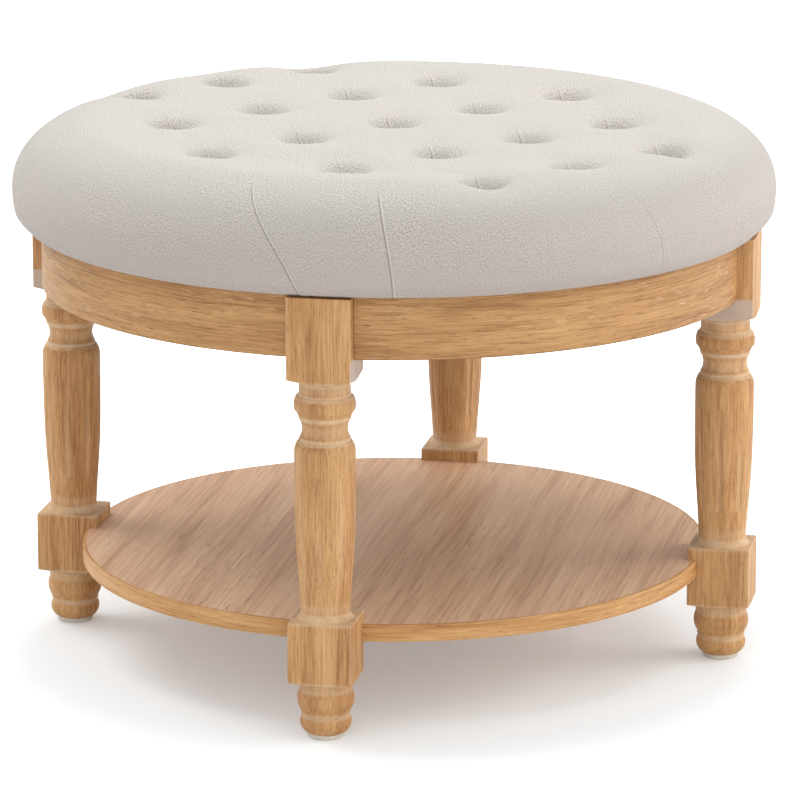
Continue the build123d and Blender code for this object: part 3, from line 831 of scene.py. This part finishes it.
for number in range(1, last_frame + 1):
    bpy.context.scene.frame_set(number)
bpy.ops.object.modifier_apply(modifier=sim.name)
bpy.context.scene.frame_set(1)
shift = points_of(plump) - before
length = np.linalg.norm(shift, axis=1)
print("cover moved by up to", round(float(length.max()) * 1000, 2), "mm")
on_side = np.clip((side_top - before[:, 2]) / side_fade, 0, 1) * (nearest > clear_of_tufts)
limit = top_give + side_give * on_side
shift *= np.minimum(1, limit / np.maximum(length, 1e-9))[:, None]
put_points(plump, before + shift)

take(plump)
rounding = plump.modifiers.new("rounding", "SUBSURF")
rounding.levels = 1
rounding.render_levels = 1
bpy.ops.object.modifier_apply(modifier=rounding.name)

# Folds pressed into the cloth, each with a swollen lip beside it
fold_depth, fold_width = 0.0011, 0.0019
swell_height, swell_off, swell_width = 0.0006, 0.0050, 0.0045
spots = points_of(plump)
reach = np.hypot(spots[:, 0], spots[:, 1])
off, share = folds_at(spots)
crease = -fold_depth * np.exp(-(off / fold_width) ** 2)
swell = swell_height * np.exp(-((off - swell_off) / swell_width) ** 2)
outward = np.stack([spots[:, 0], spots[:, 1], np.maximum(spots[:, 2] - waist, 0) * 2], axis=1)
outward /= np.linalg.norm(outward, axis=1)[:, None]
spots += outward * ((crease + swell) * share)[:, None]
put_points(plump, spots)
note(plump, "fold", np.stack([off, share, share], axis=1))

# The weave follows the way along the cloth from the middle out, over the shoulder and down to the rails
tuck_stretch = 1.25
shoulder = np.arctan2(np.maximum(spots[:, 2] - waist, 0) / shoulder_rise,
                      np.maximum(reach - shoulder_start, 0) / shoulder_reach)
table = np.array([(math.atan2((z - waist) / shoulder_rise, (r - shoulder_start) / shoulder_reach), r, z)
                  for r, z in [(side_foot + tuck_in - slack, waist)] + shoulder_outline])
lengths = np.concatenate([[0], np.cumsum(np.hypot(*np.diff(table[:, 1:], axis=0).T))])
run_out = shoulder_start + np.interp(shoulder, table[:, 0], lengths[-1] - lengths)
under_waist = shoulder_start + lengths[-1] + (waist - spots[:, 2]) * tuck_stretch
run_out = np.where(spots[:, 2] < waist, under_waist, run_out)
run_out = np.where(reach > shoulder_start, run_out, reach)
way = spots[:, :2] / np.maximum(reach, 1e-6)[:, None]
note(plump, "cloth_run", np.concatenate([way * run_out[:, None], np.zeros((len(spots), 1))], axis=1))

# Painted shade on the cloth: darker low on the side, inside the tufts and at the bend of the shoulder
low_top, low_fade = 0.455, 0.05
inside_reach, inside_fade = 0.024, 0.014
bend_height, bend_width = 0.448, 0.016
low = np.clip((low_top - spots[:, 2]) / low_fade, 0, 1)
from_stitch = np.hypot(spots[:, None, 0] - tufts[None, :, 0], spots[:, None, 1] - tufts[None, :, 1])
from_stitch = from_stitch.min(axis=1)
inside = np.clip((inside_reach - from_stitch) / inside_fade, 0, 1) * (spots[:, 2] > crown_low)
bend = np.exp(-((spots[:, 2] - bend_height) / bend_width) ** 2) * (reach > side_start)
note(plump, "cloth_painted_shade", np.stack([low, inside, bend], axis=1))
take(plump)
bpy.ops.object.shade_smooth()
linen.put_on(plump)
finish_piece(plump, "linen", "cushion_cover")

# Foam core under the cover
foam_edge, foam_round, foam_ease = 0.305, 0.020, 0.001
foam_outline = [(foam_edge - foam_ease, board_high + 0.0003), (foam_edge, board_high + foam_ease),
                (foam_edge, foam_top - foam_round)]
foam_outline += [(foam_edge - foam_round + foam_round * math.cos(math.radians(a)),
                  foam_top - foam_round + foam_round * math.sin(math.radians(a))) for a in range(15, 91, 15)]
foam_piece = turn_up("foam_pad", foam_outline, 128)
smooth(foam_piece, 40)
foam_finish.put_on(foam_piece)
finish_piece(foam_piece, "foam", "foam_core")

# Finishes of the pieces that the CAD already has right
for name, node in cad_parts.items():
    if name.startswith("glide"):
        nylon.put_on(node)
    elif name.startswith("corner_brace"):
        plain_wood.put_on(node)
    elif name.startswith("hanger") or name == "washers":
        zinc.put_on(node)
    elif name in ("rail_dowels", "shelf_dowels"):
        beech.put_on(node)
    elif name == "seat_board":
        plywood.put_on(node)
    elif name == "tuft_twines":
        cord_finish.put_on(node)

# Brace screws: pan heads with a cross recess, one in each wing of a brace, driven towards its rail
screw_outline = [(0.0042, -0.0003), (0.0042, 0.0007), (0.0038, 0.0015), (0.0028, 0.0022), (0.0014, 0.0026),
                 (0.0003, 0.0027)]
screw = turn_up("brace_screws", screw_outline, 20)
slot_long, slot_wide, slot_tall, slot_height = 0.0036, 0.0008, 0.0024, 0.0026
for recess in ((slot_long, slot_wide, slot_tall), (slot_wide, slot_long, slot_tall)):
    cut(screw, block(recess, (0, 0, slot_height)))
wing = np.array((0.0185, 0.048))  # how a wing runs outwards and along
wing_out, wing_along = wing / math.hypot(*wing)
head_out, head_along, head_height = 0.2568, 0.0646, 0.3536
heads = []
for turns in range(4):
    for hand in (-1, 1):
        take(screw)
        bpy.ops.object.duplicate(linked=False)
        head = bpy.context.view_layer.objects.active
        facing = Vector((-wing_along, hand * wing_out, 0))
        head.data.transform(facing.to_track_quat("Z", "Y").to_matrix().to_4x4())
        head.data.transform(Matrix.Translation((head_out, hand * head_along, head_height)))
        head.data.transform(Matrix.Rotation(turns * quarter, 4, "Z"))
        heads.append(head)
bpy.data.objects.remove(screw, do_unlink=True)
drop_selection()
for head in heads:
    head.select_set(True)
bpy.context.view_layer.objects.active = heads[0]
bpy.ops.object.join()
screws = bpy.context.view_layer.objects.active
screws.name = "brace_screws"
face_out(screws)
smooth(screws, 35)
zinc.put_on(screws)
finish_piece(screws, "zinc_steel")

# Dust cloth, stretched below the seat board
cloth_edge, cloth_gap = 0.2884, 0.0003
cloth_outline = [(cloth_edge, leg_top - 0.0002), (cloth_edge, 0.3752), (0.2876, 0.3750), (0.100, 0.3754),
                 (0.010, 0.3756)]
under = turn_up("dust_cover", cloth_outline, 160)
opening = 2 * block_half + 2 * cloth_gap
for turns in range(4):
    tool = block((opening, opening, 0.02), (leg_circle, 0, 0.377))
    tool.data.transform(Matrix.Rotation(turns * quarter, 4, "Z"))
    cut(under, tool)
face_out(under)
smooth(under, 40)
black_cloth.put_on(under)
finish_piece(under, "dust_cloth", "dust_cloth")


# Floor, light and camera

def straight_rays(tree):
    """1 for rays from the camera and those that come by a mirror or through glass, 0 for the rest."""
    rays = tree.nodes.new("ShaderNodeLightPath")
    straight = rays.outputs["Is Camera Ray"]
    for kind in ("Is Glossy Ray", "Is Transmission Ray"):
        either = tree.nodes.new("ShaderNodeMath")
        either.operation = "MAXIMUM"
        tree.links.new(straight, either.inputs[0])
        tree.links.new(rays.outputs[kind], either.inputs[1])
        straight = either.outputs[0]
    return straight


drop_selection()
bpy.ops.mesh.primitive_plane_add(size=14, location=(0, 0, 0))
ground = bpy.context.view_layer.objects.active
ground.name = "studio_floor"
fix_place(ground)
pale = Finish("studio_floor", roughness=1.0, specular=0.0)
pale.colour(shade(228, 231, 232))
# Painted light on the floor: a glow seen only by straight rays, faint near the table where it lifts the
# shadow, and white further out
across, ahead, _ = pale.parts(pale.spot())
from_table = pale.sum("SQRT", pale.sum("ADD", pale.sum("MULTIPLY", across, across),
                                       pale.sum("POWER", pale.sum("ADD", ahead, 0.03), 2.0)))
floor_painted_glow = pale.span(from_table, 0.30, 0.50, 0.22, 0.98)
pale.join(pale.sum("MULTIPLY", straight_rays(pale.tree), floor_painted_glow), pale.surface.inputs["Emission Strength"])
pale.surface.inputs["Emission Color"].default_value = (0.97, 0.985, 1, 1)
pale.put_on(ground)

world = bpy.data.worlds.new("studio")
bpy.context.scene.world = world
world.use_nodes = True
tree = world.node_tree
soft = tree.nodes["Background"]
soft.inputs["Color"].default_value = (0.98, 0.99, 1.0, 1)
soft.inputs["Strength"].default_value = 0.80
bright = tree.nodes.new("ShaderNodeBackground")
bright.inputs["Strength"].default_value = 1.0
blend = tree.nodes.new("ShaderNodeMixShader")
tree.links.new(straight_rays(tree), blend.inputs["Fac"])
tree.links.new(soft.outputs[0], blend.inputs[1])
tree.links.new(bright.outputs[0], blend.inputs[2])
tree.links.new(blend.outputs[0], tree.nodes["World Output"].inputs["Surface"])


def softbox(name, place, aim, size, watts, tint=(1, 1, 1)):
    lamp = bpy.data.lights.new(name, "AREA")
    lamp.shape = "RECTANGLE"
    lamp.size, lamp.size_y = size
    lamp.energy = watts
    lamp.color = tint
    stand = bpy.data.objects.new(name, lamp)
    bpy.context.scene.collection.objects.link(stand)
    stand.location = place
    stand.rotation_euler = (Vector(aim) - Vector(place)).to_track_quat("-Z", "Y").to_euler()
    return stand


softbox("overhead", (0.1, 0.3, 2.6), (0, 0, 0.3), (2.4, 2.4), 23)
softbox("right_window", (2.6, -1.0, 1.3), (0, 0, 0.25), (1.6, 1.6), 8, (1.0, 0.98, 0.95))
softbox("right_low", (2.0, 0.5, 1.0), (0, 0, 0.12), (1.2, 0.6), 14, (1.0, 0.98, 0.96))
softbox("left_window", (-1.8, 0.5, 2.3), (0, 0, 0.40), (1.4, 1.4), 25)
softbox("front_fill", (0.7, -3.4, 1.0), (0, 0, 0.2), (2.2, 1.6), 12)

eye = bpy.data.cameras.new("photograph")
eye.lens = 231.34
eye.sensor_width = 36
eye.clip_end = 60
camera = bpy.data.objects.new("photograph", eye)
bpy.context.scene.collection.objects.link(camera)
camera_reach, camera_height = 4.3874, 1.3173
camera_bearing, camera_pan, camera_tilt = 11.23, 0.068, 75.92
bearing = math.radians(camera_bearing)
camera.location = (camera_reach * math.sin(bearing), -camera_reach * math.cos(bearing), camera_height)
camera.rotation_euler = (math.radians(camera_tilt), 0, math.radians(camera_bearing - camera_pan))
bpy.context.scene.camera = camera
bpy.context.scene.view_settings.view_transform = "Standard"
